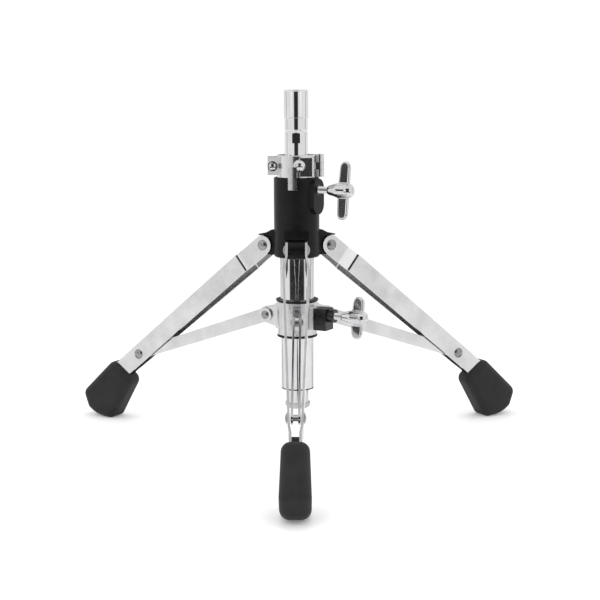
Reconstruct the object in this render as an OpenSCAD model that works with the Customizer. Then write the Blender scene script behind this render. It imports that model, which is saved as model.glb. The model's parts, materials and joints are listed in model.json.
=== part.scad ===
// Low double-braced tripod base for drum hardware: a sliding centre post in a
// black leg collar, three folding twin-bar legs and a sliding brace collar.

/* [Post] */
// Diameter of the sliding centre post
post_d = 25.4; // [25.0:0.1:25.8]
// Height of the post's lower end above the floor
post_bottom = 43; // [40:1:46]
// Height where the seat spigot starts
spigot_bottom = 372.6; // [365:0.1:380]
// Height of the post's top above the floor
post_top_z = 403.6; // [396:0.1:412]
// Diameter of the seat spigot
spigot_d = 27; // [26.6:0.1:27.4]

/* [Main tube and leg collar] */
// Outer diameter of the main tube
tube_d = 38.1; // [37.8:0.1:38.4]
// Wall of the main tube
tube_wall = 2; // [1.8:0.1:2.2]
// Height of the tube's lower end above the floor
tube_bottom = 67; // [64:1:70]
// Outer diameter of the leg collar
collar_d = 51; // [50:0.5:52]
// Height of the leg collar's lower face
collar_bottom = 217.4; // [216:0.1:218]
// Height of the leg collar's upper face
collar_top = 307; // [305:0.5:309]

/* [Legs] */
// Distance of the hip rivets from the post's axis
hip_r = 38.5; // [38:0.1:39]
// Height of the hip rivets
hip_z = 229; // [228:0.5:230]
// Slope of the open legs below level
leg_slope = 38.4; // [37.5:0.1:39]
// Distance from the hip rivet to the knee rivet
knee_s = 232.8; // [231:0.1:235]
// Width of a leg bar
bar_w = 22; // [20:0.5:23]
// Thickness of a leg bar
bar_t = 2.5; // [2.2:0.1:2.8]

/* [Braces] */
// Distance of the lug rivets from the post's axis
lug_r = 40.2; // [39.5:0.1:41]
// Height of the lug rivets
lug_z = 147.5; // [146:0.5:149]
// Thickness of a brace plate
brace_t = 2.3; // [2:0.1:2.4]
// Depth of a brace at the lower collar
brace_w = 16; // [14:0.5:17]

/* [Feet] */
// Greatest width of a rubber foot
foot_w = 31.2; // [30:0.1:33]
// Distance of a foot's floor contact from the post's axis
sole_r = 274; // [272:1:276]
// Radius of the rounded sole
sole_radius = 39; // [36:1:42]
// Radius that rounds a foot's edges
foot_round = 9.8; // [8:0.1:11]

/* [Wing screws] */
// Height of the upper wing screw
upper_wing_z = 293.5; // [292:0.5:294]
// Height of the lower wing screw
lower_wing_z = 152.5; // [150:0.5:153]
// Length of the upper wing
upper_wing_len = 65; // [60:1:72]
// Length of the lower wing
lower_wing_len = 48; // [45:1:60]
// Turn of both wings from upright
wing_turn = 7; // [0:1:90]

/* [Hidden] */
$fn = 64;
eps = 0.01;         // overlap that keeps joined solids one
cut = 100;          // longer than anything that is cut through

// directions of the legs and of the wing screws, seen from above
FRONT = -90;
RIGHT = 30;
LEFT = 150;
WING = -30;

// fits
slide_gap = 0.1;    // radial gap of a guide on its tube
pivot_gap = 0.06;   // radial gap of a rivet in a moving bar
face_gap = 0.2;     // gap between a rivet head and the bar under it
thread_gap = 0.05;  // radial gap that stands for a thread
seat_gap = 0.02;    // radial gap of a rivet in the piece that holds it

post_r = post_d / 2;
post_bore_r = post_r - 2;
spigot_r = spigot_d / 2;
tube_r = tube_d / 2;
tube_in = tube_r - tube_wall;
collar_r = collar_d / 2;
tube_top = collar_bottom + 44.6;

// a foot's toe: distance from the axis, height and half spacing of its rounding balls
toe = [sole_r + 22, 27, 6];

// the tube axis stands behind the origin, which is the middle of the footprint
front_reach = toe[0] + foot_round;
rear_reach = toe[0] * sin(RIGHT) + toe[2] * cos(RIGHT) + foot_round;
axis_y = (front_reach - rear_reach) / 2;

// leg bars: half spacings of the pair, outside faces, along the leg
hip_half = 12;
ramp_half = 13.9;
shoulder_half = 15.2;
neck_half = 7.7;
ankle_half = 6.2;
shoulder_s = [20, 34, 36.2];
ankle_s = [249.5, 258];
bar_end_s = 298;
knee_half = shoulder_half - (shoulder_half - neck_half) * (knee_s - shoulder_s[2])
    / (ankle_s[0] - shoulder_s[2]);
hip_rivet_r = 4;
knee_rivet_r = 3.5;
hip_tongue_half = hip_half - bar_t - 0.3;

// braces
brace_half = 4.8;
lug_half = brace_half - brace_t - 0.3;
lug_rivet_r = 3;
knee_r = hip_r + knee_s * cos(leg_slope);
knee_z = hip_z - knee_s * sin(leg_slope);
brace_len = norm([knee_r - lug_r, lug_z - knee_z]);
brace_slope = atan2(lug_z - knee_z, knee_r - lug_r);
knee_end_r = 6.5;
brace_end_r = brace_w / 2;

// lower collar
low_collar_r = 22.6;
low_collar_z = [128, 167];
bush_flange = 1.8;
bush_wall = 1.1;
bush_r = tube_r + slide_gap;

// memory lock
lock_r = 22;
lock_z = [collar_top + 0.2, 331.8];
lock_in = post_r + slide_gap;
lock_split = 0.5;
lock_pin_x = 26;
lock_pin_r = 1.6;
lock_ear_x = -32;
lock_screw_x = -26.5;
lock_screw_z = 319.5;
lock_screw_r = 2.5;
lock_ear_y = 6.2;
lock_ear_root = 10.2;
key_head = 6.4;
tab_turn = -100;
tab_w = 10;
tab_gap = 0.8;
tab_r = [19.6, 25.3];
tab_bottom = 293.7;
button_r = 8.2;

// wing screws
shank_r = 3.95;
insert_r = shank_r + thread_gap;
pad_r = 7;
pad_hole_r = 7.3;
upper_boss_r = 29;
lower_boss_r = 42;
block_r = 26;
upper_wing_r = 60.5;
lower_wing_r = 78;
upper_tip_r = 18.6;
lower_tip_r = 25.1;

// places children in the frame of the tube's axis
module on_axis() translate([0, axis_y, 0]) children();

// places children along the horizontal direction az, +X pointing outwards
module facing(az) on_axis() rotate([0, 0, az]) children();

// a rod along local X from x0 to x1
module rod(x0, x1, r, z = 0) translate([x0, 0, z]) rotate([0, 90, 0]) cylinder(h = x1 - x0, r = r);

// a rod along local Y, centred on y = 0
module cross_rod(half, r) rotate([90, 0, 0]) cylinder(h = 2 * half, r = r, center = true);

// an upright ring between two heights
module ring(z0, z1, r_out, r_in) {
    translate([0, 0, z0])
        difference() {
            cylinder(h = z1 - z0, r = r_out);
            translate([0, 0, -1]) cylinder(h = z1 - z0 + 2, r = r_in);
        }
}

// a rivet head: a low dome whose flat face is at the origin, rising along +Y
module dome(r, h) {
    ball = (r * r + h * h) / (2 * h);
    rotate([-90, 0, 0])
        intersection() {
            cylinder(h = h, r = r);
            translate([0, 0, h - ball]) sphere(r = ball);
        }
}

// ---- centre post ----

module post() {
    color("silver") on_axis()
        difference() {
            ring(post_bottom + 6, spigot_bottom, post_r, post_bore_r);
            // milled flat that faces the player
            translate([-cut / 2, -post_r - 1, 345]) cube([cut, 1.8, 11]);
            // V groove above the flat
            rotate_extrude()
                polygon([
                    [post_r + 0.1, 356.4], [post_r + 0.1, 360], [post_r - 1, 358.2]
                ]);
        }
}

module seat_spigot() {
    chamfer = 2;
    plug = 20;
    color("silver") on_axis() {
        rotate_extrude()
            polygon([
                [0, spigot_bottom], [spigot_r - 0.6, spigot_bottom],
                [spigot_r, spigot_bottom + 0.6], [spigot_r, post_top_z - chamfer],
                [spigot_r - chamfer, post_top_z], [0, post_top_z]
            ]);
        translate([0, 0, spigot_bottom - plug]) cylinder(h = plug + eps, r = post_bore_r);
    }
}

module post_end_cap() {
    cap_r = 14.3;
    color("lightgray") on_axis() {
        rotate_extrude()
            polygon([
                [0, post_bottom], [cap_r - 2, post_bottom], [cap_r, post_bottom + 2],
                [cap_r, post_bottom + 6], [0, post_bottom + 6]
            ]);
        translate([0, 0, post_bottom + 6 - eps]) cylinder(h = 14, r = post_bore_r);
    }
}

// ---- main tube and leg collar ----

module main_tube() {
    color("silver") on_axis() ring(tube_bottom, tube_top, tube_r, tube_in);
}

module tube_end_ring() {
    color("dimgray") on_axis() {
        ring(tube_bottom - 1.5, tube_bottom, tube_r - 0.4, 14.6);
        ring(tube_bottom - eps, tube_bottom + 10, tube_in, 14.6);
    }
}

module lower_guide() {
    color("whitesmoke") on_axis() ring(214, 232, tube_in, post_r + slide_gap);
}

module post_bushing() {
    color("whitesmoke")
        difference() {
            on_axis() ring(tube_top, collar_top - 0.2, tube_r, post_r + slide_gap);
            facing(WING) rod(0, tube_r + 5, pad_hole_r, upper_wing_z);
        }
}

// one leg's tongue on the collar, with the lip that covers the bars' round ends
module hip_lug(az) {
    tongue_r = bar_w / 2 - 0.6;
    lip_z = hip_z + bar_w / 2 + 0.6;
    lip_r = 42.5;
    facing(az)
        difference() {
            union() {
                translate([collar_r - 6, -hip_tongue_half, hip_z - tongue_r])
                    cube([hip_r - collar_r + 6, 2 * hip_tongue_half, lip_z - hip_z + tongue_r + eps]);
                translate([hip_r, 0, hip_z]) cross_rod(hip_tongue_half, tongue_r);
                // the lip thins towards its tip
                rotate([90, 0, 0])
                    linear_extrude(height = 2 * hip_half + 3, center = true)
                        polygon([
                            [collar_r - 4, lip_z], [lip_r, lip_z], [lip_r, lip_z + 1.4],
                            [33, lip_z + 3.2], [collar_r, lip_z + 7], [collar_r - 4, lip_z + 7]
                        ]);
            }
            translate([hip_r, 0, hip_z]) cross_rod(cut, hip_rivet_r + seat_gap);
        }
}

// rounded upright block that carries the upper wing screw
module upper_boss() {
    half = 11.5;
    low = 266 + half;
    high = collar_top - 1 - half;
    facing(WING) {
        rod(collar_r - 6, upper_boss_r, half, low);
        rod(collar_r - 6, upper_boss_r, half, high);
        translate([collar_r - 6, -half, low]) cube([upper_boss_r - collar_r + 6, 2 * half, high - low]);
    }
}

module leg_collar() {
    edge = 1.2;
    color("#1b1b1c")
        difference() {
            union() {
                on_axis()
                    rotate_extrude()
                        polygon([
                            [10, collar_bottom], [collar_r - edge, collar_bottom],
                            [collar_r, collar_bottom + edge], [collar_r, collar_top - edge],
                            [collar_r - edge, collar_top], [10, collar_top]
                        ]);
                upper_boss();
                for (az = [FRONT, RIGHT, LEFT]) hip_lug(az);
            }
            on_axis() translate([0, 0, collar_bottom - 1]) cylinder(h = cut, r = tube_r);
            // notch for the memory lock's tab
            facing(tab_turn)
                translate([10, -tab_w / 2 - tab_gap, tab_bottom - tab_gap])
                    cube([cut, tab_w + 2 * tab_gap, cut]);
            // room for the clamp pad, then the seat of the threaded insert
            facing(WING) rod(0, 22, pad_hole_r, upper_wing_z);
            facing(WING) rod(0, cut, 6, upper_wing_z);
        }
}

module upper_insert() {
    color("silver") facing(WING)
        difference() {
            rod(22.2, upper_boss_r, 6, upper_wing_z);
            rod(0, cut, insert_r, upper_wing_z);
        }
}

// clamp pad with a face that fits the round it presses on
module clamp_pad(x_back, z, round_r) {
    difference() {
        facing(WING) rod(round_r - 4, x_back, pad_r, z);
        on_axis() cylinder(h = post_top_z, r = round_r + 0.3);
    }
}

module upper_clamp_pad() {
    color("dimgray") clamp_pad(upper_tip_r - 0.1, upper_wing_z, post_r);
}

// wing screw along local X: tip at x = tip, wing centred on x = centre
module wing_screw(tip, centre, wing_len, half, z) {
    hub_r = 8.5;
    edge_r = 3.8;
    reach = wing_len / 2 - edge_r;
    facing(WING) {
        rod(tip, centre, shank_r, z);
        // hub: cone from the shank, short barrel, rounded outer end
        translate([centre, 0, z])
            rotate([0, 90, 0])
                rotate_extrude()
                    polygon([
                        [0, -20], [5, -20], [hub_r, -7], [hub_r, 6],
                        [6.5, 10], [3.5, 12], [0, 12]
                    ]);
        // flat lobes with rounded edges, a little narrower at the tips
        translate([centre, 0, z])
            rotate([-wing_turn, 0, 0])
                hull() {
                    for (end = [-1, 1]) {
                        translate([0.5, 0, end * reach]) sphere(r = edge_r, $fn = 24);
                        for (side = [-1, 1]) {
                            translate([0.5 + side * (half - edge_r - 1), 0, end * (reach - 2.5)])
                                sphere(r = edge_r, $fn = 24);
                            translate([side * (half - edge_r), 0, end * 8])
                                sphere(r = edge_r + 0.5, $fn = 24);
                        }
                    }
                }
    }
}

module upper_wing_screw() {
    color("silver")
        wing_screw(upper_tip_r, upper_wing_r, upper_wing_len, 6.8, upper_wing_z);
}

// ---- memory lock ----

// half of the lock ring: side is +1 for the rear half, -1 for the front half
module lock_ring_half(side) {
    edge = 1;
    intersection() {
        difference() {
            rotate_extrude()
                polygon([
                    [8, lock_z[0]], [lock_r, lock_z[0]], [lock_r, lock_z[1] - edge],
                    [lock_r - edge, lock_z[1]], [8, lock_z[1]]
                ]);
            cylinder(h = cut * 5, r = lock_in);
        }
        translate([-cut / 2, side > 0 ? lock_split : -cut / 2 - lock_split, 0])
            cube([cut, cut / 2, cut * 5]);
    }
}

// clamp ear of one half, thicker at its root, with a flat seat round the screw
module lock_ear(side) {
    translate([0, 0, lock_z[0] + 2.5])
        difference() {
            linear_extrude(height = lock_z[1] - lock_z[0] - 4.5)
                polygon([
                    [lock_ear_x, side * lock_split], [lock_ear_x, side * lock_ear_y],
                    [-16, side * lock_ear_root], [-16, side * lock_split]
                ]);
            translate([lock_screw_x, side * lock_ear_y, lock_screw_z - lock_z[0] - 2.5])
                rotate([side * -90, 0, 0]) cylinder(h = cut, r = 5.6);
        }
}

// hinge knuckle between two heights
module knuckle(z0, z1) translate([lock_pin_x, 0, z0]) cylinder(h = z1 - z0, r = 5);

knuckle_step = (lock_z[1] - lock_z[0]) / 3;

module lock_rear_half() {
    z1 = lock_z[0] + knuckle_step;
    z2 = lock_z[0] + 2 * knuckle_step;
    color("gainsboro") on_axis()
        difference() {
            union() {
                lock_ring_half(1);
                lock_ear(1);
                knuckle(lock_z[0], z1);
                knuckle(z2, lock_z[1]);
                translate([18, 1, lock_z[0]]) cube([8, 4, knuckle_step]);
                translate([18, 1, z2]) cube([8, 4, knuckle_step]);
            }
            translate([lock_pin_x, 0, 0]) cylinder(h = cut * 5, r = lock_pin_r);
            // room for the front half's knuckle
            translate([lock_pin_x, 0, z1]) cylinder(h = knuckle_step, r = 5.4);
            cylinder(h = cut * 5, r = lock_in);
            // threaded hole in the ear
            translate([lock_screw_x, 0, lock_screw_z]) cross_rod(cut, lock_screw_r + 0.3);
        }
}

module lock_hinge_pin() {
    color("silver") on_axis()
        translate([lock_pin_x, 0, lock_z[0]]) cylinder(h = lock_z[1] - lock_z[0] + 0.8, r = lock_pin_r);
}

module lock_front_half() {
    z1 = lock_z[0] + knuckle_step + 0.2;
    z2 = lock_z[0] + 2 * knuckle_step - 0.2;
    color("gainsboro")
        difference() {
            union() {
                on_axis() {
                    lock_ring_half(-1);
                    lock_ear(-1);
                    knuckle(z1, z2);
                    translate([18, -5, z1]) cube([8, 4, z2 - z1]);
                    // flat pad with a raised domed button at its left
                    translate([4.5, -lock_r - 1, lock_z[0] + 1.5]) cube([13, 10, lock_z[1] - lock_z[0] - 4]);
                    translate([3.8, -17.6, 320.5]) sphere(r = button_r);
                }
                // tab that drops into the collar's notch
                intersection() {
                    on_axis() ring(tab_bottom, lock_z[0] + 12, tab_r[1], tab_r[0]);
                    facing(tab_turn) translate([10, -tab_w / 2, 0]) cube([cut, tab_w, cut * 5]);
                }
            }
            on_axis() {
                cylinder(h = cut * 5, r = lock_in);
                translate([lock_pin_x, 0, 0]) cylinder(h = cut * 5, r = lock_pin_r + pivot_gap);
                // room for the rear half's knuckles
                translate([lock_pin_x, 0, 0]) cylinder(h = z1, r = 5.4);
                translate([lock_pin_x, 0, z2]) cylinder(h = cut, r = 5.4);
                translate([lock_screw_x, 0, lock_screw_z]) cross_rod(cut, lock_screw_r + thread_gap);
            }
        }
}

module lock_washer() {
    color("silver") on_axis()
        translate([lock_screw_x, -lock_ear_y - 0.5, lock_screw_z])
            difference() {
                cross_rod(0.5, 5.2);
                cross_rod(2, lock_screw_r + thread_gap);
            }
}

module lock_key_screw() {
    seat = lock_ear_y + 1;
    flange = 1.5;
    head = 6;
    dome_r = 8.5;
    color("silver") on_axis()
        translate([lock_screw_x, 0, lock_screw_z]) {
            translate([0, lock_ear_y - 0.5, 0])
                rotate([90, 0, 0]) cylinder(h = seat + lock_ear_y, r = lock_screw_r);
            translate([0, -seat, 0]) rotate([90, 0, 0]) cylinder(h = flange, r = 4.6);
            intersection() {
                translate([-key_head / 2, -seat - flange - head, -key_head / 2])
                    cube([key_head, head + eps, key_head]);
                // the square's end is domed
                translate([0, dome_r - seat - flange - head, 0]) sphere(r = dome_r);
            }
        }
}

// ---- lower collar ----

// one brace tongue: tapers from the collar to a round end about the lug rivet
module brace_lug(az) {
    end_r = 9.5;
    root = 14.5;
    facing(az)
        difference() {
            union() {
                rotate([90, 0, 0])
                    linear_extrude(height = 2 * lug_half, center = true)
                        polygon([
                            [low_collar_r - 1.5, lug_z - root], [lug_r, lug_z - end_r],
                            [lug_r, lug_z + end_r], [low_collar_r - 1.5, lug_z + root]
                        ]);
                translate([lug_r, 0, lug_z]) cross_rod(lug_half, end_r);
                // thicker root where the tongue leaves the collar
                translate([low_collar_r - 2, -5, lug_z - root]) cube([5.5, 10, 2 * root]);
            }
            translate([lug_r, 0, lug_z]) cross_rod(cut, lug_rivet_r + seat_gap);
        }
}

// square stretch along the wing screw between two distances from the axis
module boss_block(x0, x1) {
    half = 9;
    facing(WING) translate([x0, -half, 136]) cube([x1 - x0, 2 * half, 24.7]);
}

module lower_collar() {
    edge = 1;
    color("gainsboro")
        difference() {
            union() {
                on_axis()
                    rotate_extrude()
                        polygon([
                            [15, low_collar_z[0]], [low_collar_r - edge, low_collar_z[0]],
                            [low_collar_r, low_collar_z[0] + edge], [low_collar_r, low_collar_z[1] - edge],
                            [low_collar_r - edge, low_collar_z[1]], [15, low_collar_z[1]]
                        ]);
                boss_block(low_collar_r - 6, block_r);
                for (az = [FRONT, RIGHT, LEFT]) brace_lug(az);
            }
            on_axis() cylinder(h = 2 * cut, r = bush_r + bush_wall);
            facing(WING) rod(0, 27.9, pad_hole_r, lower_wing_z);
            facing(WING) rod(0, cut, 6, lower_wing_z);
        }
}

module screw_block() {
    color("#242425")
        difference() {
            boss_block(block_r, lower_boss_r);
            facing(WING) rod(0, 27.9, pad_hole_r, lower_wing_z);
            facing(WING) rod(0, cut, 6, lower_wing_z);
        }
}

module collar_bush_top() {
    color("#242425")
        difference() {
            on_axis() {
                ring(low_collar_z[1] - 14, low_collar_z[1] + eps, bush_r + bush_wall, bush_r);
                ring(low_collar_z[1], low_collar_z[1] + bush_flange, 24, bush_r);
            }
            facing(WING) rod(0, cut, pad_hole_r, lower_wing_z);
        }
}

module collar_bush_bottom() {
    color("#242425") on_axis() {
        ring(low_collar_z[0] - eps, low_collar_z[0] + 14, bush_r + bush_wall, bush_r);
        ring(low_collar_z[0] - bush_flange, low_collar_z[0], 23, bush_r);
    }
}

module lower_insert() {
    color("silver") facing(WING)
        difference() {
            union() {
                rod(28, lower_boss_r + 7.5, 6, lower_wing_z);
                rod(lower_boss_r, lower_boss_r + 7.5, 7.5, lower_wing_z);
            }
            rod(0, cut, insert_r, lower_wing_z);
        }
}

module lower_clamp_pad() {
    color("dimgray") clamp_pad(lower_tip_r - 0.1, lower_wing_z, tube_r);
}

module lower_wing_screw() {
    color("silver")
        wing_screw(lower_tip_r, lower_wing_r, lower_wing_len, 7.2, lower_wing_z);
}

// ---- legs ----

// places children in a leg's own frame: hip rivet at the origin, +X down the leg
module leg_frame(az) facing(az) translate([hip_r, 0, hip_z]) rotate([0, leg_slope, 0]) children();

// a straight-sided bar seen from its side, round about its first end
module bar_side(w, s_end) {
    circle(r = w / 2);
    translate([0, -w / 2]) square([s_end, w]);
}

// the bar seen from above: it steps out past the hip and in again at the ankle
module bar_plan() {
    path = [
        [-bar_w, hip_half], [shoulder_s[0], hip_half], [shoulder_s[1], ramp_half],
        [shoulder_s[2], shoulder_half], [ankle_s[0], neck_half],
        [ankle_s[1], ankle_half], [bar_end_s, ankle_half]
    ];
    last = len(path) - 1;
    polygon([
        for (p = path) p,
        for (i = [0 : last]) [path[last - i][0], path[last - i][1] - bar_t]
    ]);
}

module leg_bar(az, side) {
    color("gainsboro") leg_frame(az)
        difference() {
            intersection() {
                mirror([0, side < 0 ? 1 : 0, 0])
                    linear_extrude(height = bar_w + 2, center = true) bar_plan();
                rotate([90, 0, 0]) linear_extrude(height = cut, center = true) bar_side(bar_w, bar_end_s);
            }
            cross_rod(cut, hip_rivet_r + pivot_gap);
            translate([knee_s, 0, 0]) cross_rod(cut, knee_rivet_r + seat_gap);
        }
}

module hip_rivet(az) {
    color("silver") leg_frame(az) {
        cross_rod(hip_half + face_gap + 0.2, hip_rivet_r);
        for (side = [-1, 1])
            mirror([0, side < 0 ? 1 : 0, 0])
                translate([0, hip_half + face_gap, 0]) dome(6.2, 2.8);
    }
}

// two short rivets, one in each bar, that meet the brace's bush between them
module knee_rivets(az) {
    head_y = knee_half + 0.25;
    color("silver") leg_frame(az)
        for (side = [-1, 1])
            mirror([0, side < 0 ? 1 : 0, 0])
                translate([knee_s, 0, 0]) {
                    translate([0, knee_half - bar_t + 0.1, 0])
                        rotate([-90, 0, 0]) cylinder(h = bar_t + 0.3, r = knee_rivet_r);
                    translate([0, head_y, 0]) dome(6, 2.2);
                }
}

module tip_block(az) {
    half = ankle_half - bar_t;
    color("dimgray") leg_frame(az)
        translate([263, -half, -bar_w / 2 + 1]) cube([bar_end_s - 263, 2 * half, bar_w - 2]);
}

// rubber foot: rounded block about the bars' ends, with an arched sole and a floor flat
module foot(az) {
    lift = 0.4;
    heel_round = 7.2;
    wide = foot_w / 2 - foot_round;
    arc_r = sole_radius - foot_round;
    sole = [
        for (turn = [-14 : 13 : 38])
            [sole_r + arc_r * sin(turn), sole_radius - lift - arc_r * cos(turn), wide]
    ];
    heel = [sole_r - 31, 48.5, 4.6];
    neck = [sole_r - 14, 61, 4.5];
    color("#2a2b2c")
        difference() {
            facing(az)
                intersection() {
                    hull()
                        for (side = [-1, 1]) {
                            for (p = concat(sole, [toe, neck, heel]))
                                translate([p[0], side * p[2], p[1]]) sphere(r = foot_round, $fn = 30);
                            // tighter corner where the sole meets the heel
                            translate([sole_r - 7.5, side * (foot_w / 2 - heel_round), heel_round - lift])
                                sphere(r = heel_round, $fn = 30);
                        }
                    translate([150, -cut / 2, 0]) cube([200, cut, cut]);
                }
            // pocket for the bars and the block between them
            leg_frame(az)
                translate([225, -ankle_half, -bar_w / 2])
                    cube([bar_end_s - 225, 2 * ankle_half, bar_w]);
        }
}

// ---- braces ----

module brace_frame(az) facing(az) translate([lug_r, 0, lug_z]) rotate([0, brace_slope, 0]) children();

module brace_plate(az, side) {
    color("gainsboro") brace_frame(az)
        difference() {
            translate([0, side * (brace_half - brace_t / 2), 0])
                rotate([90, 0, 0])
                    linear_extrude(height = brace_t, center = true) {
                        circle(r = brace_end_r);
                        translate([brace_len, 0]) circle(r = knee_end_r);
                        polygon([
                            [0, -brace_end_r], [brace_len, -knee_end_r],
                            [brace_len, knee_end_r], [0, brace_end_r]
                        ]);
                    }
            cross_rod(cut, lug_rivet_r + pivot_gap);
            translate([brace_len, 0, 0]) cross_rod(cut, knee_rivet_r + seat_gap);
        }
}

module lug_rivet(az) {
    color("silver") brace_frame(az) {
        cross_rod(brace_half + face_gap + 0.2, lug_rivet_r);
        for (side = [-1, 1])
            mirror([0, side < 0 ? 1 : 0, 0])
                translate([0, brace_half + face_gap, 0]) dome(5, 2.2);
    }
}

module knee_bush(az) {
    color("silver") brace_frame(az)
        translate([brace_len, 0, 0])
            difference() {
                cross_rod(brace_half + 0.3, knee_rivet_r);
                cross_rod(cut, 2);
            }
}

main_tube();
leg_collar();
post_bushing();
lower_guide();
tube_end_ring();
upper_insert();
upper_clamp_pad();
upper_wing_screw();
post();
seat_spigot();
post_end_cap();
lock_rear_half();
lock_hinge_pin();
lock_front_half();
lock_washer();
lock_key_screw();
lower_collar();
collar_bush_top();
collar_bush_bottom();
screw_block();
lower_insert();
lower_clamp_pad();
lower_wing_screw();
hip_rivet(FRONT);  // front_hip_rivet
leg_bar(FRONT, -1);  // front_leg_bar_left
leg_bar(FRONT, 1);  // front_leg_bar_right
knee_rivets(FRONT);  // front_knee_rivets
tip_block(FRONT);  // front_tip_block
foot(FRONT);  // front_foot
lug_rivet(FRONT);  // front_lug_rivet
brace_plate(FRONT, -1);  // front_brace_plate_left
brace_plate(FRONT, 1);  // front_brace_plate_right
knee_bush(FRONT);  // front_knee_bush
hip_rivet(RIGHT);  // right_hip_rivet
leg_bar(RIGHT, -1);  // right_leg_bar_left
leg_bar(RIGHT, 1);  // right_leg_bar_right
knee_rivets(RIGHT);  // right_knee_rivets
tip_block(RIGHT);  // right_tip_block
foot(RIGHT);  // right_foot
lug_rivet(RIGHT);  // right_lug_rivet
brace_plate(RIGHT, -1);  // right_brace_plate_left
brace_plate(RIGHT, 1);  // right_brace_plate_right
knee_bush(RIGHT);  // right_knee_bush
hip_rivet(LEFT);  // left_hip_rivet
leg_bar(LEFT, -1);  // left_leg_bar_left
leg_bar(LEFT, 1);  // left_leg_bar_right
knee_rivets(LEFT);  // left_knee_rivets
tip_block(LEFT);  // left_tip_block
foot(LEFT);  // left_foot
lug_rivet(LEFT);  // left_lug_rivet
brace_plate(LEFT, -1);  // left_brace_plate_left
brace_plate(LEFT, 1);  // left_brace_plate_right
knee_bush(LEFT);  // left_knee_bush
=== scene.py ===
import json
import math

import bmesh
import bpy
from mathutils import Matrix, Vector


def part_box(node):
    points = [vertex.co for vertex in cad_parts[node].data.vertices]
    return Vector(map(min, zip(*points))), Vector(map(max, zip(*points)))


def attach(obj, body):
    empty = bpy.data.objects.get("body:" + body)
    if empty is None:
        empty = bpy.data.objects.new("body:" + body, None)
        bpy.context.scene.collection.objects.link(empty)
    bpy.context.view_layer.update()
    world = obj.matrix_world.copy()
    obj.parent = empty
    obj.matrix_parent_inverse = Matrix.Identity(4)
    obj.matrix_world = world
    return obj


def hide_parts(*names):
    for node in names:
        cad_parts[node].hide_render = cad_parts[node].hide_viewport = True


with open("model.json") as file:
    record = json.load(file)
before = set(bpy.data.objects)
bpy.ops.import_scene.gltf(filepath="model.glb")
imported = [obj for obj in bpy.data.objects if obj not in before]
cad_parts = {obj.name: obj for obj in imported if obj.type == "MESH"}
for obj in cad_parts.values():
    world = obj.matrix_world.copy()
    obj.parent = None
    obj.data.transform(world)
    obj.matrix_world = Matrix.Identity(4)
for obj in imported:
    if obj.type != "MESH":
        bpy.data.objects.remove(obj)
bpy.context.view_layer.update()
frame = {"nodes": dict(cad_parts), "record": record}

MM = 0.001
LEGS = {"front": -90, "right": 30, "left": 150}   # each leg's direction, in degrees
WING_AZ = -30                                     # both wing screws' direction

tube_low, tube_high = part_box("main_tube")
AXIS = Vector(((tube_low.x + tube_high.x) / 2, (tube_low.y + tube_high.y) / 2, 0))

SLOT = {row["node"]: row["material_slot"] for row in frame["record"]["subparts"]}


# ---- node helpers ----

class Tree:
    """Adds nodes to one node tree; add returns the node, the other calls its output."""

    def __init__(self, tree):
        self.tree = tree

    def add(self, kind, **settings):
        node = self.tree.nodes.new(kind)
        for key, value in settings.items():
            setattr(node, key, value)
        return node

    def link(self, source, target):
        self.tree.links.new(source, target)

    def combine(self, operation, a, b=0.0):
        """Arithmetic on two values, each a number or an output."""
        node = self.add("ShaderNodeMath", operation=operation)
        for socket, value in zip(node.inputs, (a, b)):
            if isinstance(value, (int, float)):
                socket.default_value = value
            else:
                self.link(value, socket)
        return node.outputs["Value"]

    def remap(self, source, low, high, from_low=0.3, from_high=0.7, **settings):
        """low where the source is from_low, high where it is from_high."""
        node = self.add("ShaderNodeMapRange", **settings)
        node.inputs["From Min"].default_value = from_low
        node.inputs["From Max"].default_value = from_high
        node.inputs["To Min"].default_value = low
        node.inputs["To Max"].default_value = high
        self.link(source, node.inputs["Value"])
        return node.outputs["Result"]


class Look(Tree):
    """One procedural material."""

    def __init__(self, name):
        self.material = bpy.data.materials.new(name)
        self.material.use_nodes = True
        super().__init__(self.material.node_tree)
        self.shader = self.tree.nodes["Principled BSDF"]
        self.place = self.add("ShaderNodeTexCoord").outputs["Object"]

    def noise(self, scale, detail, rough, stretch=(1, 1, 1)):
        """Noise with scale waves per metre; stretch squeezes it along an axis."""
        mapping = self.add("ShaderNodeMapping")
        mapping.inputs["Scale"].default_value = stretch
        self.link(self.place, mapping.inputs["Vector"])
        node = self.add("ShaderNodeTexNoise")
        node.inputs["Scale"].default_value = scale
        node.inputs["Detail"].default_value = detail
        node.inputs["Roughness"].default_value = rough
        self.link(mapping.outputs["Vector"], node.inputs["Vector"])
        return node.outputs["Fac"]

    def blend(self, fac, a, b):
        """Colour a where fac is 0, colour b where it is 1."""
        node = self.add("ShaderNodeMix", data_type="RGBA")
        self.link(fac, node.inputs["Factor"])
        node.inputs["A"].default_value = (*a, 1)
        node.inputs["B"].default_value = (*b, 1)
        return node.outputs["Result"]

    def bump(self, height, depth, before=None):
        """Bump of a real depth in metres, on top of the bump before it."""
        node = self.add("ShaderNodeBump")
        node.inputs["Strength"].default_value = 1.0
        node.inputs["Distance"].default_value = depth
        self.link(height, node.inputs["Height"])
        if before is not None:
            self.link(before, node.inputs["Normal"])
        return node.outputs["Normal"]

    def finish(self, color, roughness, normal, **constants):
        """Links the maps, sets the shader's constants and returns the material."""
        self.link(color, self.shader.inputs["Base Color"])
        self.link(roughness, self.shader.inputs["Roughness"])
        if normal is not None:
            self.link(normal, self.shader.inputs["Normal"])
        for key, value in constants.items():
            self.shader.inputs[key.replace("_", " ")].default_value = value
        return self.material


# ---- materials ----

# noise scales in waves per metre, depths in metres
SMUDGE_SCALE = 38
SCRATCH_SCALE = 900
SCRATCH_DEPTH = 2e-6
TONE_SCALE = 45


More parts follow.
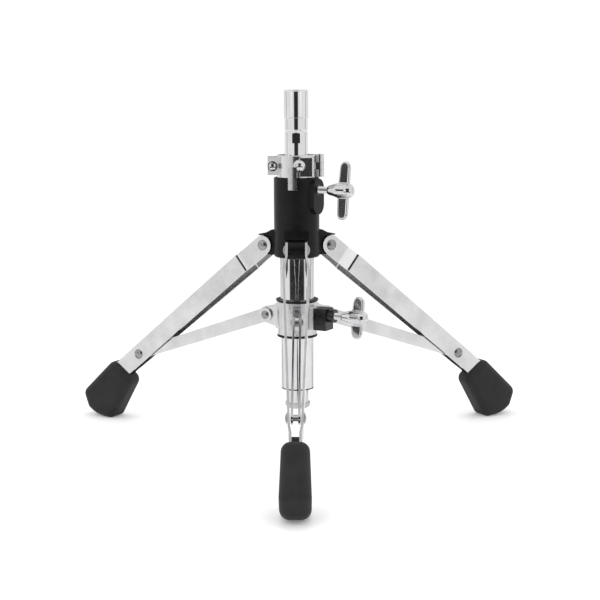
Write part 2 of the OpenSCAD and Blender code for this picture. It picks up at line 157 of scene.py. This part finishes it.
def chrome(name, dark, light, rough, ripple, ripple_depth, stretch=(1, 1, 1)):
    """Chrome plate: smudges in the gloss, hairline scratches, a slight ripple of the metal."""
    look = Look(name)
    smudge = look.noise(SMUDGE_SCALE, 5, 0.6)
    hair = look.noise(SCRATCH_SCALE, 3, 0.6, stretch)
    wave = look.noise(ripple, 2, 0.5)
    color = look.blend(look.remap(smudge, 0, 1), dark, light)
    gloss = look.combine("ADD", look.remap(smudge, *rough), look.remap(hair, -0.02, 0.03))
    normal = look.bump(hair, SCRATCH_DEPTH, look.bump(wave, ripple_depth))
    return look.finish(color, gloss, normal, Metallic=1.0)


def coat(name, dark, light, rough, grain, depth, **constants):
    """A dull surface: uneven tone, uneven gloss and a fine grain."""
    look = Look(name)
    tone = look.noise(TONE_SCALE, 5, 0.6)
    fine = look.noise(grain, 3, 0.55)
    mixed = look.combine("ADD", look.combine("MULTIPLY", look.remap(tone, 0, 1), 0.7),
                         look.combine("MULTIPLY", look.remap(fine, 0, 1), 0.3))
    color = look.blend(mixed, dark, light)
    gloss = look.combine("ADD", look.remap(tone, *rough), look.remap(fine, -0.04, 0.04))
    return look.finish(color, gloss, look.bump(fine, depth), Metallic=0.0, **constants)


MATERIALS = {
    "chrome_tube": chrome("chrome_tube", (0.66, 0.66, 0.67), (0.74, 0.74, 0.75),
                          rough=(0.04, 0.09), ripple=60, ripple_depth=1.5e-5,
                          stretch=(1, 1, 0.03)),
    "chrome_plate": chrome("chrome_plate", (0.56, 0.56, 0.565), (0.72, 0.72, 0.725),
                           rough=(0.1, 0.2), ripple=45, ripple_depth=3e-5,
                           stretch=(1, 1, 0.2)),
    "chrome_cast": chrome("chrome_cast", (0.62, 0.62, 0.63), (0.72, 0.72, 0.73),
                          rough=(0.14, 0.22), ripple=90, ripple_depth=6e-5),
    "chrome_wing": chrome("chrome_wing", (0.62, 0.62, 0.63), (0.7, 0.7, 0.71),
                          rough=(0.06, 0.12), ripple=70, ripple_depth=3e-5),
    "chrome_small": chrome("chrome_small", (0.55, 0.55, 0.56), (0.68, 0.68, 0.69),
                           rough=(0.09, 0.18), ripple=300, ripple_depth=4e-5),
    "black_collar": coat("black_collar", (0.004, 0.004, 0.0045), (0.011, 0.011, 0.012),
                         rough=(0.34, 0.46), grain=1600, depth=2e-5,
                         Specular_IOR_Level=0.15),
    "white_nylon": coat("white_nylon", (0.74, 0.72, 0.66), (0.84, 0.82, 0.77),
                        rough=(0.38, 0.5), grain=900, depth=2e-5),
    "grey_cap": coat("grey_cap", (0.42, 0.42, 0.42), (0.55, 0.55, 0.55),
                     rough=(0.4, 0.52), grain=900, depth=3e-5),
    "black_plastic": coat("black_plastic", (0.004, 0.004, 0.0045), (0.012, 0.012, 0.013),
                          rough=(0.34, 0.46), grain=1200, depth=3e-5,
                          Specular_IOR_Level=0.25),
    "rubber_foot": coat("rubber_foot", (0.005, 0.005, 0.0055), (0.024, 0.0245, 0.025),
                        rough=(0.6, 0.76), grain=1500, depth=9e-5,
                        Specular_IOR_Level=0.3, Sheen_Weight=0.05, Sheen_Roughness=0.5),
}

# finer looks for single pieces; their slot in the record stays as it is
SPECIAL = {
    "lower_collar": chrome("chrome_collar", (0.58, 0.58, 0.59), (0.7, 0.7, 0.71),
                           rough=(0.2, 0.3), ripple=110, ripple_depth=2.4e-4),
    "rivet": chrome("rivet_steel", (0.26, 0.26, 0.265), (0.42, 0.42, 0.425),
                    rough=(0.2, 0.32), ripple=250, ripple_depth=5e-5),
    "insert": chrome("dark_steel", (0.035, 0.035, 0.037), (0.07, 0.07, 0.072),
                     rough=(0.22, 0.34), ripple=300, ripple_depth=4e-5),
    "screw_block": coat("block_gloss", (0.004, 0.004, 0.0045), (0.01, 0.01, 0.011),
                        rough=(0.12, 0.22), grain=700, depth=4e-5,
                        Specular_IOR_Level=0.4),
}


def look_of(node):
    """The material of a piece that stands for this CAD node."""
    for word in ("rivet", "insert"):
        if word in node:
            return SPECIAL[word]
    return SPECIAL.get(node, MATERIALS[SLOT[node]])


def paint(obj, material):
    obj.data.materials.clear()
    obj.data.materials.append(material)


for node_name, node_obj in frame["nodes"].items():
    paint(node_obj, look_of(node_name))


# ---- mesh helpers ----

FACET_ANGLE = math.radians(0.3)     # facets of a hull closer than this are one face


def shade(obj, angle):
    """Smooth faces, with an edge kept sharp where it turns by more than angle degrees."""
    for face in obj.data.polygons:
        face.use_smooth = True
    obj.data.set_sharp_from_angle(angle=math.radians(angle))


def add_object(name, data):
    obj = bpy.data.objects.new(name, data)
    bpy.context.scene.collection.objects.link(obj)
    return obj


def mesh_from(name, bm):
    """The bmesh as a mesh with its normals outwards; the bmesh is used up."""
    bmesh.ops.recalc_face_normals(bm, faces=bm.faces)
    mesh = bpy.data.meshes.new(name)
    bm.to_mesh(mesh)
    bm.free()
    return mesh


def applied(obj):
    """Replaces an object's mesh by the result of its modifiers."""
    depsgraph = bpy.context.evaluated_depsgraph_get()
    mesh = bpy.data.meshes.new_from_object(obj.evaluated_get(depsgraph))
    obj.modifiers.clear()
    obj.data = mesh
    return obj


def hand_over(obj, body, node):
    """The piece takes a CAD node's place on its body."""
    paint(obj, look_of(node))
    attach(obj, body)
    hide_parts(node)


def in_order(bm):
    """The same shape, its vertices and faces in a fixed order; a hull's own varies by run."""
    verts = sorted(bm.verts, key=lambda vert: tuple(vert.co))
    place = {vert: k for k, vert in enumerate(verts)}
    faces = []
    for face in bm.faces:
        ring = [place[vert] for vert in face.verts]
        first = ring.index(min(ring))
        faces.append(ring[first:] + ring[:first])
    ordered = bmesh.new()
    corners = [ordered.verts.new(vert.co) for vert in verts]
    for ring in sorted(faces):
        ordered.faces.new([corners[k] for k in ring])
    ordered.normal_update()
    bm.free()
    return ordered


def hull(balls, steps):
    """Smooth convex shell round (centre, radius) balls, in metres, as a bmesh."""
    bm = bmesh.new()
    for centre, radius in balls:
        bmesh.ops.create_uvsphere(bm, u_segments=steps, v_segments=steps // 2, radius=radius,
                                  matrix=Matrix.Translation(centre))
    made = bmesh.ops.convex_hull(bm, input=bm.verts)
    inside = made["geom_interior"] + made["geom_unused"]
    spare = {part for part in inside if isinstance(part, bmesh.types.BMVert)}
    bmesh.ops.delete(bm, geom=list(spare), context="VERTS")
    bm = in_order(bm)
    bmesh.ops.dissolve_limit(bm, angle_limit=FACET_ANGLE, verts=bm.verts, edges=bm.edges)
    return bm


def lathe(profile, steps):
    """Closed solid of revolution about X; its (x, radius) points start and end on the axis."""
    bm = bmesh.new()
    turns = [2 * math.pi * k / steps for k in range(steps)]
    rings = []
    for x, radius in profile:
        if radius == 0:
            rings.append([bm.verts.new((x, 0, 0))] * steps)
        else:
            rings.append([bm.verts.new((x, radius * math.cos(t), radius * math.sin(t)))
                          for t in turns])
    for a, b in zip(rings, rings[1:]):
        for k in range(steps):
            corners = [a[k], a[(k + 1) % steps], b[(k + 1) % steps], b[k]]
            bm.faces.new(dict.fromkeys(corners))
    return bm


def rounded(points, radius, steps=6):
    """Profile with its inner corners rounded, as a quadratic curve at each corner."""
    path = [Vector(p) for p in points]
    out = [points[0]]
    for before, corner, after in zip(path, path[1:], path[2:]):
        reach = min(radius, (before - corner).length / 2, (after - corner).length / 2)
        start = corner + (before - corner).normalized() * reach
        end = corner + (after - corner).normalized() * reach
        for k in range(steps + 1):
            t = k / steps
            out.append(tuple(start * (1 - t) ** 2 + corner * 2 * t * (1 - t) + end * t * t))
    out.append(points[-1])
    return out


def boolean(obj, operation, tool_bm):
    """DIFFERENCE or UNION of the object with a bmesh, which is used up."""
    tool = add_object("tool", mesh_from("tool", tool_bm))
    change = obj.modifiers.new("boolean", "BOOLEAN")
    change.operation = operation
    change.object = tool
    change.solver = "EXACT"
    applied(obj)
    bpy.data.objects.remove(tool)


def block(low, high):
    """Box between two corners, as a bmesh."""
    bm = bmesh.new()
    bmesh.ops.create_cube(bm, size=1.0)
    low, high = Vector(low), Vector(high)
    for vert in bm.verts:
        vert.co = Vector([(c + 0.5) * (b - a) + a for c, a, b in zip(vert.co, low, high)])
    return bm


def facing(az):
    """Frame at the axis with +X along the horizontal direction az."""
    return Matrix.Translation(AXIS) @ Matrix.Rotation(math.radians(az), 4, "Z")


# ---- CAD shapes with broken edges: castings, the key screw, bars and plates ----

WELD = 2e-6                       # vertices of the CAD's mesh closer than this are one
FLAT_ANGLE = math.radians(1.0)    # and its facets closer than this are one face


def broken_edges(node, name, width, angle=28, sharp=40, reshape=None):
    """A CAD node's shape with its edges rounded where they turn by more than angle degrees.

    Edges that turn by more than sharp degrees shade sharp. reshape may move the CAD's
    vertices first.
    """
    bm = bmesh.new()
    bm.from_mesh(frame["nodes"][node].data)
    if reshape:
        reshape(bm)
    bmesh.ops.remove_doubles(bm, verts=bm.verts, dist=WELD)
    bmesh.ops.dissolve_limit(bm, angle_limit=FLAT_ANGLE, verts=bm.verts, edges=bm.edges)
    obj = add_object(name, mesh_from(name, bm))
    bevel = obj.modifiers.new("edges", "BEVEL")
    bevel.width = width
    bevel.segments = 3
    bevel.limit_method = "ANGLE"
    bevel.angle_limit = math.radians(angle)
    shade(obj, sharp)
    # the wide flat faces keep their own direction, so only the edges shade round
    weights = obj.modifiers.new("normals", "WEIGHTED_NORMAL")
    weights.keep_sharp = True
    return applied(obj)


# CAD node: its piece, its body and the width of its broken edges
CASTINGS = {
    "leg_collar": ("collar_casting", "base", 0.7 * MM),
    "lock_rear_half": ("lock_rear_casting", "memory_lock", 0.5 * MM),
    "lock_front_half": ("lock_front_casting", "lock_front", 0.5 * MM),
    "lower_collar": ("lower_collar_casting", "lower_collar", 0.6 * MM),
    "screw_block": ("screw_block_casting", "lower_collar", 0.9 * MM),
}
for node_name, (piece_name, body, width) in CASTINGS.items():
    hand_over(broken_edges(node_name, piece_name, width), body, node_name)


KEY_CENTRE = AXIS + Vector((-26.5 * MM, 0, 319.5 * MM))
KEY_EDGE = 0.3 * MM
FLANGE_BACK = AXIS.y - 8.0 * MM
FLANGE_DEEP = 1.5 * MM
FLANGE_INNER_R = 4.3 * MM
FLANGE_DRAW = 0.22                # share of its radius that the flange's front rim loses


def sloped_flange(bm):
    """The key screw's flange falls away from its head, as a cone."""
    for vert in bm.verts:
        reach = Vector((vert.co.x - KEY_CENTRE.x, 0, vert.co.z - KEY_CENTRE.z))
        in_flange = FLANGE_BACK - FLANGE_DEEP < vert.co.y < FLANGE_BACK
        if in_flange and reach.length > FLANGE_INNER_R:
            vert.co -= reach * FLANGE_DRAW


hand_over(broken_edges("lock_key_screw", "lock_key", KEY_EDGE, reshape=sloped_flange),
          "key_screw", "lock_key_screw")


# ---- rubber feet ----

FOOT_STEPS = 40
FOOT_ROUND = 9.75 * MM
SOLE_R = 274 * MM                 # the sole's middle, from the axis
SOLE_ARC = 29.2 * MM              # radius and height of the arc that the sole rolls along
SOLE_LIFT = 38.6 * MM
SOLE_HALF = 5.8 * MM
SOLE_TURNS = range(-14, 39, 4)    # degrees along the arc
BODY_BALLS = ((22, 27, 6), (-14, 61, 4.5), (-31, 48.5, 4.6))    # (x, z, half width) in mm
HEEL_ROUND = 7.15 * MM
HEEL_BACK = 7.5 * MM
HEEL_HALF = 8.4 * MM
HEEL_LIFT = 6.8 * MM

HIP = Vector((38.5 * MM, 0, 229 * MM))
LEG_SLOPE = 38.4
POCKET_LOW = (225 * MM, -6.2 * MM, -11 * MM)    # along the leg's slope, from the hip
POCKET_HIGH = (298 * MM, 6.2 * MM, 11 * MM)


def foot_shell():
    """The foot's outside along +X, cut flat at the floor."""
    balls = []
    for side in (-1, 1):
        for x, z, half in BODY_BALLS:
            balls.append(((SOLE_R + x * MM, side * half * MM, z * MM), FOOT_ROUND))
        for turn in SOLE_TURNS:
            angle = math.radians(turn)
            balls.append(((SOLE_R + SOLE_ARC * math.sin(angle), side * SOLE_HALF,
                           SOLE_LIFT - SOLE_ARC * math.cos(angle)), FOOT_ROUND))
        balls.append(((SOLE_R - HEEL_BACK, side * HEEL_HALF, HEEL_LIFT), HEEL_ROUND))
    bm = hull(balls, FOOT_STEPS)
    cut = bmesh.ops.bisect_plane(bm, geom=bm.verts[:] + bm.edges[:] + bm.faces[:], dist=1e-6,
                                 plane_co=(0, 0, 0), plane_no=(0, 0, -1), clear_outer=True)
    rim = [part for part in cut["geom_cut"] if isinstance(part, bmesh.types.BMEdge)]
    bmesh.ops.holes_fill(bm, edges=rim)
    return bm


def foot_mesh():
    """The foot along +X, with the pocket that the bars' ends fill."""
    obj = add_object("foot", mesh_from("foot", foot_shell()))
    pocket = block(POCKET_LOW, POCKET_HIGH)
    pocket.transform(Matrix.Translation(HIP)
                     @ Matrix.Rotation(math.radians(LEG_SLOPE), 4, "Y"))
    boolean(obj, "DIFFERENCE", pocket)
    mesh = obj.data
    bpy.data.objects.remove(obj)
    return mesh


one_foot = foot_mesh()
for leg_name, leg_az in LEGS.items():
    rubber = add_object(leg_name + "_rubber_foot", one_foot.copy())
    rubber.data.transform(facing(leg_az))
    shade(rubber, 40)
    hand_over(rubber, leg_name + "_leg", leg_name + "_foot")


# ---- wing screws ----

HUB = [(-20, 0), (-20, 4.9), (-7, 8.4), (6, 8.4), (10, 6.4), (11.9, 3.4), (11.9, 0)]
HUB_ROUND = 2.2 * MM
HUB_STEPS = 48
LOBE_STEPS = 20
LOBE_TURN = 8                     # degrees that the lobes lean from upright
LOBE_EDGE_R = 1.7 * MM
LOBE_SIDE = 0.7 * MM              # the edge balls' distance from the lobes' middle plane
LOBE_WAIST = 7 * MM
LOBE_FORWARD = 0.4 * MM           # the lobes' round ends sit this far out along X
BLEND_VOXEL = 0.4 * MM
BLEND_FACTOR = 0.6
BLEND_ROUNDS = 16
SHANK_R = 3.9 * MM
SHANK_STEPS = 40
THREAD_PITCH = 1.25 * MM
THREAD_ROOT = 0.87                # radius in a groove, and at both ends, against SHANK_R
THREAD_TIP = 0.8
THREAD_END = -17 * MM             # inside the hub


def wing_lobes(length, half):
    """Both lobes along Z: flat faces, small round edges and round ends."""
    end_r = half - LOBE_EDGE_R - LOBE_FORWARD
    balls = []
    for side in (-LOBE_SIDE, LOBE_SIDE):
        for end in (-1, 1):
            tip = end * (length / 2 - LOBE_EDGE_R - end_r)
            for turn in range(0, 181, 30):
                x = LOBE_FORWARD + end_r * math.cos(math.radians(turn))
                z = tip + end * end_r * math.sin(math.radians(turn))
                balls.append(((x, side, z), LOBE_EDGE_R))
            for edge in (-1, 1):
                balls.append(((edge * (half - LOBE_EDGE_R), side, end * LOBE_WAIST),
                              LOBE_EDGE_R))
    bm = hull(balls, LOBE_STEPS)
    bm.transform(Matrix.Rotation(math.radians(-LOBE_TURN), 4, "X"))
    return bm


def thread(start, end):
    """Profile of a shank with a thread's ridges along X, the wing's centre at x = 0."""
    profile = [(start, 0), (start, SHANK_R * THREAD_TIP)]
    x = start + THREAD_PITCH / 2
    while x + THREAD_PITCH < end:
        profile += [(x, SHANK_R), (x + THREAD_PITCH / 2, SHANK_R * THREAD_ROOT)]
        x += THREAD_PITCH
    return profile + [(end, SHANK_R * THREAD_TIP), (end, 0)]


def wing_screw(name, node, body, centre, tip, length, half, height):
    """A wing screw: hub and lobes blended into one casting, and a threaded shank in it.

    centre and tip are the wing's and the shank's distances from the axis.
    """
    hub = rounded([(x * MM, r * MM) for x, r in HUB], HUB_ROUND)
    obj = add_object(name, mesh_from(name, lathe(hub, HUB_STEPS)))
    boolean(obj, "UNION", wing_lobes(length, half))
    remesh = obj.modifiers.new("blend", "REMESH")
    remesh.mode = "VOXEL"
    remesh.voxel_size = BLEND_VOXEL
    soften = obj.modifiers.new("soften", "SMOOTH")
    soften.factor = BLEND_FACTOR
    soften.iterations = BLEND_ROUNDS
    applied(obj)
    whole = bmesh.new()
    whole.from_mesh(obj.data)
    whole.from_mesh(mesh_from("ridges", lathe(thread(tip - centre, THREAD_END), SHANK_STEPS)))
    whole.to_mesh(obj.data)
    whole.free()
    obj.data.transform(facing(WING_AZ) @ Matrix.Translation((centre, 0, height)))
    shade(obj, 50)
    hand_over(obj, body, node)


wing_screw("upper_wing", "upper_wing_screw", "upper_wing", centre=60.5 * MM, tip=18.6 * MM,
           length=64.8 * MM, half=6.75 * MM, height=293.5 * MM)
wing_screw("lower_wing", "lower_wing_screw", "lower_wing", centre=78 * MM, tip=25.1 * MM,
           length=47.8 * MM, half=7.15 * MM, height=152.5 * MM)


# ---- leg bars and brace plates ----

BAR_EDGE = 0.35 * MM
BAR_FOLD = 11                     # degrees: the bars' shallow folds stay crisp

for leg_name in LEGS:
    for part, limb in (("leg_bar", "_leg"), ("brace_plate", "_brace")):
        for side in ("left", "right"):
            node_name = f"{leg_name}_{part}_{side}"
            bar = broken_edges(node_name, node_name + "_edged", BAR_EDGE,
                               angle=BAR_FOLD, sharp=BAR_FOLD)
            hand_over(bar, leg_name + limb, node_name)


# ---- camera ----

EYE = AXIS + Vector((15.2 * MM, -1524.4 * MM, 412.1 * MM))
AIM = AXIS + Vector((0, 0, 167.1 * MM))
ROLL = math.radians(-0.34)

camera_data = bpy.data.cameras.new("camera")
camera = add_object("camera", camera_data)
camera_data.lens = 81.4
camera_data.sensor_width = 36
camera_data.shift_x = 0.0047
camera_data.clip_start = 0.01
camera_data.clip_end = 100
view_turn = (AIM - EYE).to_track_quat("-Z", "Y").to_matrix() @ Matrix.Rotation(ROLL, 3, "Z")
camera.matrix_world = Matrix.Translation(EYE) @ view_turn.to_4x4()
bpy.context.scene.camera = camera


# ---- floor and lights ----

TABLE_R = 0.86         # the white table ends here; mirrors see the darker room past it
TABLE_DROP = -0.0002   # and lies this far below the soles
TABLE_GLOW = 0.14

bm = bmesh.new()
bmesh.ops.create_circle(bm, cap_ends=True, segments=128, radius=TABLE_R)
floor = add_object("floor", mesh_from("floor", bm))
floor.location = AXIS + Vector((0, 0, TABLE_DROP))
table = Look("floor")
table_tone = table.noise(3, 2, 0.5)
table_color = table.blend(table_tone, (0.9, 0.9, 0.9), (0.92, 0.92, 0.92))
floor.data.materials.append(table.finish(
    table_color, table.remap(table_tone, 0.55, 0.65), None,
    Emission_Color=(1, 1, 1, 1), Specular_IOR_Level=0.2))
# the table glows a little to the camera, and not in the mirrors
mirrored = table.add("ShaderNodeLightPath").outputs["Is Glossy Ray"]
table.link(table.remap(mirrored, TABLE_GLOW, 0.0, 0, 1),
           table.shader.inputs["Emission Strength"])

LIGHT_AIM = Vector((0, 0.07, 0.2))


def softbox(name, place, size, radiance):
    """Soft light that shines on the part and is not seen in its mirrors."""
    light = bpy.data.lights.new(name, "AREA")
    light.shape = "RECTANGLE"
    light.size, light.size_y = size
    light.energy = radiance * math.pi * size[0] * size[1]
    obj = add_object(name, light)
    obj.location = place
    obj.rotation_euler = (LIGHT_AIM - Vector(place)).to_track_quat("-Z", "Y").to_euler()
    obj.visible_glossy = False


softbox("left_box", (-2.0, -0.3, 1.5), (0.8, 1.2), 1.5)
softbox("right_box", (2.0, -0.2, 1.5), (0.8, 1.2), 1.25)
softbox("top_box", (0.0, 0.5, 2.2), (1.4, 1.2), 1.8)


# ---- surroundings: white, and in mirrors with darker strips of room in it ----

SKY_STRENGTH = 1.02
STRIP_DARK = 0.97      # share of the light that a full strip takes away

world = bpy.data.worlds.new("studio")
bpy.context.scene.world = world
world.use_nodes = True
sky = Tree(world.node_tree)
split = sky.add("ShaderNodeSeparateXYZ")
sky.link(sky.add("ShaderNodeTexCoord").outputs["Generated"], split.inputs["Vector"])
across, deep, height = (split.outputs[axis] for axis in "XYZ")
level = sky.combine("SQRT", sky.combine("ADD", sky.combine("POWER", across, 2.0),
                                        sky.combine("POWER", deep, 2.0)))
ahead = sky.combine("DIVIDE", sky.combine("MULTIPLY", deep, -1.0), level)


def rise(source, off, on, strength=1.0):
    """Mask that is 0 up to off and rises smoothly to strength at on, in either direction."""
    return sky.remap(source, 0.0, strength, off, on, interpolation_type="SMOOTHSTEP")


def azimuth(off, on, strength=1.0):
    """Mask by the angle from straight ahead of the part, in degrees to either side."""
    return rise(ahead, math.cos(math.radians(off)), math.cos(math.radians(on)), strength)


def upward(off, on, strength=1.0):
    """Mask by the height of the direction: 0 is level, 1 straight up."""
    return rise(height, off, on, strength)


def product(first, *others):
    for other in others:
        first = sky.combine("MULTIPLY", first, other)
    return first


def strongest(first, *others):
    for other in others:
        first = sky.combine("MAXIMUM", first, other)
    return first


low_front = product(azimuth(56, 46), upward(-0.09, -0.11))
high_front = product(azimuth(23, 16), upward(0.75, 0.6))
brow = product(azimuth(30, 27), upward(0.25, 0.29), upward(0.65, 0.6))
left_strip = product(azimuth(71, 68), azimuth(52, 54, 0.97), upward(0.0, 0.03),
                     upward(0.4, 0.3), rise(across, 0.0, -0.1))
side_strips = product(azimuth(112, 109), azimuth(101, 104), upward(0.5, 0.3, 0.6))
back_strip = product(azimuth(160, 168, 0.8), upward(0.5, 0.3))
overhead = upward(0.955, 0.975, 0.3)
dark = strongest(low_front, high_front, brow, left_strip, side_strips, back_strip, overhead)
front_glow = product(azimuth(52, 51), azimuth(38, 40, 0.4), upward(-0.03, 0.0),
                     upward(0.25, 0.2))
seen = product(sky.combine("SUBTRACT", 1.0, sky.combine("MULTIPLY", dark, STRIP_DARK)),
               sky.combine("ADD", 1.0, front_glow))

glow = sky.add("ShaderNodeMix", data_type="FLOAT")
sky.link(sky.add("ShaderNodeLightPath").outputs["Is Glossy Ray"], glow.inputs["Factor"])
glow.inputs["A"].default_value = SKY_STRENGTH
sky.link(seen, glow.inputs["B"])
background = sky.tree.nodes["Background"]
sky.link(glow.outputs["Result"], background.inputs["Strength"])
background.inputs["Color"].default_value = (1, 1, 1, 1)

bpy.context.scene.view_settings.view_transform = "Standard"
